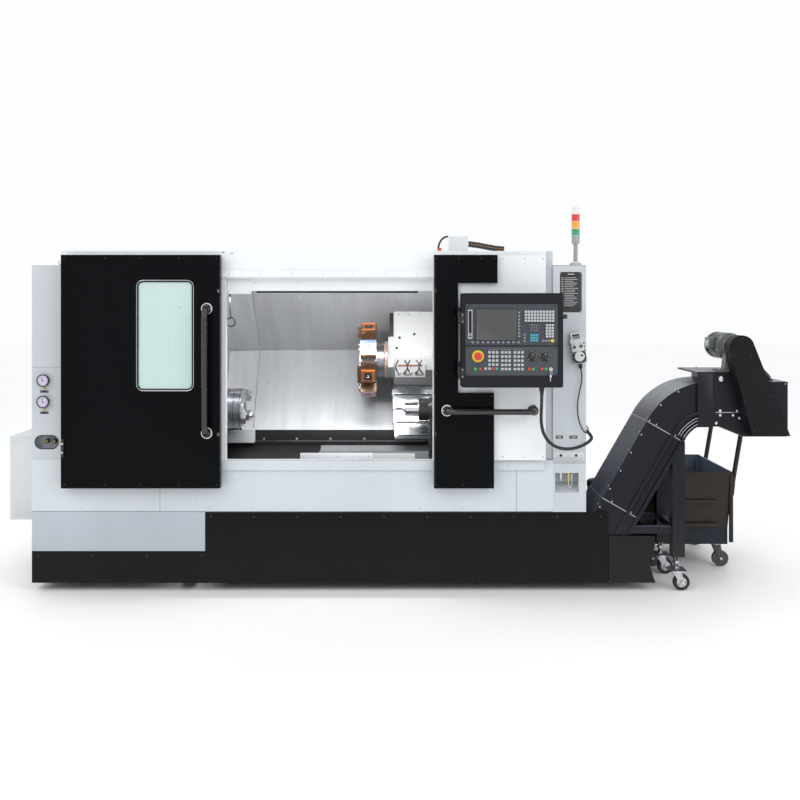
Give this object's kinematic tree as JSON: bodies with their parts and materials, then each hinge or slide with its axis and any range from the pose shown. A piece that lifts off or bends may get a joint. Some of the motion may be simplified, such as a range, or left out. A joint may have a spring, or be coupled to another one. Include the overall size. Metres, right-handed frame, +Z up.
{
  "type": "cnc turning lathe with chip conveyor",
  "caption": "Slant-bed turning lathe with sliding doors, operator panel, turret, tailstock, coolant tank, inclined chip conveyor and chip bin.",
  "frame": {"origin": "centre of the bottom of the machine's box, its two cords left out, at floor level", "axes": "+X to the operator's right along the spindle axis, +Y away from the operator, +Z up"},
  "size_m": [4.408, 1.912, 2.132],
  "materials": {
    "white_cover": "fine textured paint",
    "grey_cover": "fine textured paint",
    "blue_grey_cover": "satin paint",
    "black_gloss": "gloss paint",
    "black_plate": "satin paint",
    "casting": "painted casting",
    "liner_grey": "worn satin steel sheet",
    "ground_steel": "ground and brushed",
    "chuck_steel": "turned",
    "jaw_steel": "blackened and ground",
    "turret_white": "satin paint",
    "holder_steel": "oiled steel",
    "motor_grey": "satin paint",
    "rubber_black": "matt",
    "handle_black": "semi-gloss",
    "door_glass": "laminated safety glass",
    "panel_charcoal": "satin paint",
    "stop_red": "gloss",
    "knob_black": "matt",
    "pendant_grey": "matt",
    "light_plastic": "ribbed lenses",
    "conveyor_black": "semi-gloss paint",
    "plate_belt": "rolled plate",
    "wheel_rubber": "matt tread",
    "zinc": "bright zinc",
    "bin_blue": "worn paint"
  },
  "bodies": {
    "machine": {"bed": "casting", "bin_casters": "zinc", "bin_tub": "bin_blue", "chain_guard": "conveyor_black", "chamber_liner": "liner_grey", "conveyor_belt": "plate_belt", "conveyor_body": "conveyor_black", "conveyor_head": "conveyor_black", "conveyor_legs": "conveyor_black", "conveyor_motor": "motor_grey", "coolant_tank": "black_plate", "drive_belt": "rubber_black", "front_frame": "white_cover", "headstock": "casting", "left_end_cover": "grey_cover", "left_side_box": "grey_cover", "levelling_feet": "black_plate", "lower_access_panel": "blue_grey_cover", "lower_front_cover": "grey_cover", "panel_box": "panel_charcoal", "panel_conduit": "rubber_black", "pendant_body": "pendant_grey", "pendant_lead": "rubber_black", "plinth": "black_plate", "rear_roof_cover": "white_cover", "right_column": "grey_cover", "spindle_motor": "motor_grey", "stack_light": "light_plastic"},
    "main_spindle": {"spindle": "ground_steel", "chuck_body": "chuck_steel"},
    "jaw_1": {"chuck_jaw_1": "jaw_steel"},
    "jaw_2": {"chuck_jaw_2": "jaw_steel"},
    "jaw_3": {"chuck_jaw_3": "jaw_steel"},
    "motor_shaft": {"motor_pulley": "ground_steel"},
    "carriage": {"saddle": "casting", "way_covers": "ground_steel"},
    "cross_slide": {"turret_housing": "turret_white"},
    "turret": {"turret_disc": "ground_steel", "tool_holders": "holder_steel"},
    "feed_screw": {"z_ballscrew": "ground_steel"},
    "tailstock": {"tailstock_body": "turret_white"},
    "quill": {"tailstock_quill": "ground_steel"},
    "left_door": {"left_door_panel": "black_gloss", "left_door_glass": "door_glass", "left_door_handle": "handle_black"},
    "right_door": {"right_door_panel": "white_cover", "right_door_skin": "black_gloss", "right_door_handle": "handle_black"},
    "operator_panel": {"panel_face": "panel_charcoal"},
    "stop_button": {"estop_button": "stop_red"},
    "feed_switch": {"feed_knob": "knob_black"},
    "spindle_switch": {"spindle_knob": "knob_black"},
    "hand_dial": {"pendant_dial": "knob_black"},
    "axis_selector": {"pendant_axis_knob": "knob_black"},
    "rate_selector": {"pendant_rate_knob": "knob_black"},
    "conveyor_drive": {"conveyor_drive_shaft": "ground_steel"},
    "front_fork": {"leg_fork_front": "zinc"},
    "rear_fork": {"leg_fork_rear": "zinc"},
    "front_wheel": {"leg_wheel_front": "wheel_rubber"},
    "rear_wheel": {"leg_wheel_rear": "wheel_rubber"}
  },
  "joints": [
    {"name": "spindle_spin", "type": "hinge", "parent": "machine", "child": "main_spindle", "pos_m": [-1.03, -0.024, 0.93], "axis": [1, 0, 0], "continuous": true},
    {"name": "jaw_1_slide", "type": "slide", "parent": "main_spindle", "child": "jaw_1", "axis": [0, 0, 1], "range_m": [-0.0044, 0.0044]},
    {"name": "jaw_2_slide", "type": "slide", "parent": "main_spindle", "child": "jaw_2", "axis": [0, -0.866, -0.5], "range_m": [-0.0044, 0.0044]},
    {"name": "jaw_3_slide", "type": "slide", "parent": "main_spindle", "child": "jaw_3", "axis": [0, 0.866, -0.5], "range_m": [-0.0044, 0.0044]},
    {"name": "motor_spin", "type": "hinge", "parent": "machine", "child": "motor_shaft", "pos_m": [-1.63, -0.314, 0.42], "axis": [1, 0, 0], "continuous": true},
    {"name": "carriage_slide", "type": "slide", "parent": "machine", "child": "carriage", "axis": [1, 0, 0], "range_m": [-0.56, 0.35]},
    {"name": "cross_slide", "type": "slide", "parent": "carriage", "child": "cross_slide", "axis": [0, 0.524, 0.8517], "range_m": [-0.14, 0.04]},
    {"name": "turret_index", "type": "hinge", "parent": "cross_slide", "child": "turret", "pos_m": [-0.08, 0.15677, 1.22385], "axis": [1, 0, 0], "continuous": true},
    {"name": "feed_screw_spin", "type": "hinge", "parent": "machine", "child": "feed_screw", "pos_m": [0.07, 0.41979, 0.8918], "axis": [1, 0, 0], "continuous": true},
    {"name": "tailstock_slide", "type": "slide", "parent": "machine", "child": "tailstock", "axis": [1, 0, 0], "range_m": [-0.27, 0.33]},
    {"name": "quill_slide", "type": "slide", "parent": "tailstock", "child": "quill", "axis": [1, 0, 0], "range_m": [-0.08, 0.08]},
    {"name": "left_door_slide", "type": "slide", "parent": "machine", "child": "left_door", "axis": [1, 0, 0], "range_m": [0, 0.887]},
    {"name": "right_door_slide", "type": "slide", "parent": "machine", "child": "right_door", "axis": [-1, 0, 0], "range_m": [0, 0.266]},
    {"name": "panel_swing", "type": "hinge", "parent": "machine", "child": "operator_panel", "pos_m": [0.382, -0.8817, 1.4], "axis": [0, 0, -1], "range_deg": [0, 110]},
    {"name": "stop_press", "type": "slide", "parent": "operator_panel", "child": "stop_button", "axis": [0, 1, 0], "range_m": [0, 0.005], "stiffness_N_per_m": 900},
    {"name": "feed_switch_turn", "type": "hinge", "parent": "operator_panel", "child": "feed_switch", "pos_m": [0.759, -0.922, 1.307], "axis": [0, 1, 0], "range_deg": [-120, 150]},
    {"name": "spindle_switch_turn", "type": "hinge", "parent": "operator_panel", "child": "spindle_switch", "pos_m": [0.826, -0.922, 1.307], "axis": [0, 1, 0], "range_deg": [-120, 150]},
    {"name": "hand_dial_turn", "type": "hinge", "parent": "machine", "child": "hand_dial", "pos_m": [1.04967, -0.68, 1.29239], "axis": [0, -1, 0], "continuous": true},
    {"name": "axis_selector_turn", "type": "hinge", "parent": "machine", "child": "axis_selector", "pos_m": [1.02292, -0.68, 1.34263], "axis": [0, -1, 0], "range_deg": [-60, 60]},
    {"name": "rate_selector_turn", "type": "hinge", "parent": "machine", "child": "rate_selector", "pos_m": [1.05841, -0.68, 1.34864], "axis": [0, -1, 0], "range_deg": [-60, 60]},
    {"name": "conveyor_drive_turn", "type": "hinge", "parent": "machine", "child": "conveyor_drive", "pos_m": [2.032, -0.644, 1.035], "axis": [0, 1, 0], "continuous": true},
    {"name": "front_fork_swivel", "type": "hinge", "parent": "machine", "child": "front_fork", "pos_m": [1.594, -0.62, 0.08], "axis": [0, 0, 1], "continuous": true},
    {"name": "front_wheel_roll", "type": "hinge", "parent": "front_fork", "child": "front_wheel", "pos_m": [1.622, -0.62, 0.045], "axis": [0, 1, 0], "continuous": true},
    {"name": "rear_fork_swivel", "type": "hinge", "parent": "machine", "child": "rear_fork", "pos_m": [1.594, -0.288, 0.08], "axis": [0, 0, 1], "continuous": true},
    {"name": "rear_wheel_roll", "type": "hinge", "parent": "rear_fork", "child": "rear_wheel", "pos_m": [1.622, -0.288, 0.045], "axis": [0, 1, 0], "continuous": true}
  ],
  "couplings": [
    {"joint": "jaw_2_slide", "follows": "jaw_1_slide", "ratio": 1},
    {"joint": "jaw_3_slide", "follows": "jaw_1_slide", "ratio": 1},
    {"joint": "motor_spin", "follows": "spindle_spin", "ratio": 1.5714},
    {"joint": "feed_screw_spin", "follows": "carriage_slide", "rad_per_m": 392.7}
  ]
}
